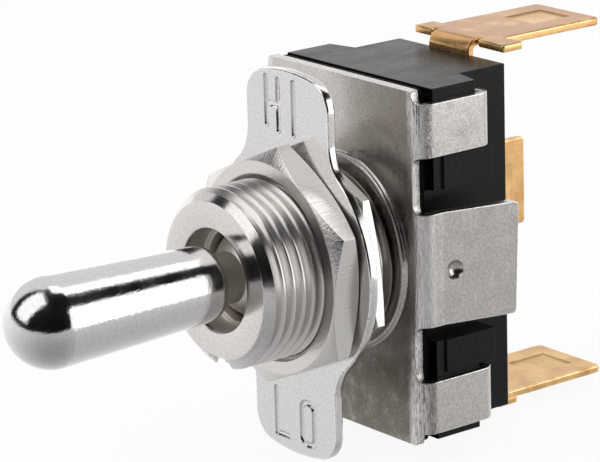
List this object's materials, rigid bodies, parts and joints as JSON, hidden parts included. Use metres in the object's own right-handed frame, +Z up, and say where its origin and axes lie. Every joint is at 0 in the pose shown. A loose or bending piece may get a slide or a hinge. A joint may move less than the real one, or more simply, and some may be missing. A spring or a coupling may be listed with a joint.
{
  "type": "panel toggle switch",
  "caption": "Toggle switch with a chromed bat lever, threaded bushing, nuts and legend plate, nickel bracket, moulded body and push-on blades.",
  "frame": {"origin": "on the bushing's axis, in the plane of the bracket's front face", "axes": "+Y from the lever to the blades, along the bushing; +Z along the long side of the body, towards the upper blade; +X to the right when seen from the lever's side with +Z up"},
  "size_m": [0.018, 0.0467, 0.0263],
  "materials": {
    "bracket_nickel": "dull nickel on pressed steel, faintly mottled",
    "bushing_nickel": "satin nickel on turned brass",
    "nut_nickel": "bright nickel on turned brass",
    "plate_nickel": "satin nickel on steel sheet",
    "fibre": "dark pressed fibre sheet",
    "phenolic": "moulded phenolic, dark grey",
    "lever_chrome": "polished chrome",
    "pin_steel": "plain steel",
    "plunger_nylon": "moulded nylon, natural",
    "copper": "plain copper strip",
    "silver": "silver contact face",
    "blade_brass": "plain brass strip",
    "rivet_brass": "plain brass, formed head"
  },
  "bodies": {
    "case": {"bracket": "bracket_nickel", "bushing": "bushing_nickel", "rear_nut": "nut_nickel", "legend_plate": "plate_nickel", "front_nut": "nut_nickel", "liner": "fibre", "housing": "phenolic", "lever_pin": "pin_steel", "pin_retainer": "pin_steel", "rocker_pin": "pin_steel", "fulcrum_frame": "blade_brass", "fixed_contact_upper": "silver", "fixed_contact_lower": "silver", "contact_rivet_upper": "rivet_brass", "contact_rivet_lower": "rivet_brass", "centre_rivet": "rivet_brass", "blade_upper": "blade_brass", "blade_lower": "blade_brass", "blade_middle": "blade_brass"},
    "lever": {"lever": "lever_chrome", "plunger_spring": "pin_steel"},
    "plunger": {"plunger": "plunger_nylon"},
    "rocker": {"rocker": "plunger_nylon", "contact_bar": "copper", "moving_contact_upper": "silver", "moving_contact_lower": "silver"}
  },
  "joints": [
    {"name": "lever_tilt", "type": "hinge", "parent": "case", "child": "lever", "pos_m": [0, -0.0065, 0], "axis": [1, 0, 0], "range_deg": [-13, 13]},
    {"name": "rocker_tilt", "type": "hinge", "parent": "case", "child": "rocker", "pos_m": [0, 0.0051, 0], "axis": [1, 0, 0], "range_deg": [-6.5, 6.5]},
    {"name": "plunger_slide", "type": "slide", "parent": "lever", "child": "plunger", "axis": [0, 1, 0], "range_m": [-0.0006, 0], "stiffness_N_per_m": 500, "springref_m": 0.0002, "deforming": ["plunger_spring"]}
  ],
  "couplings": [
    {"joint": "rocker_tilt", "follows": "lever_tilt", "ratio": -0.5}
  ]
}
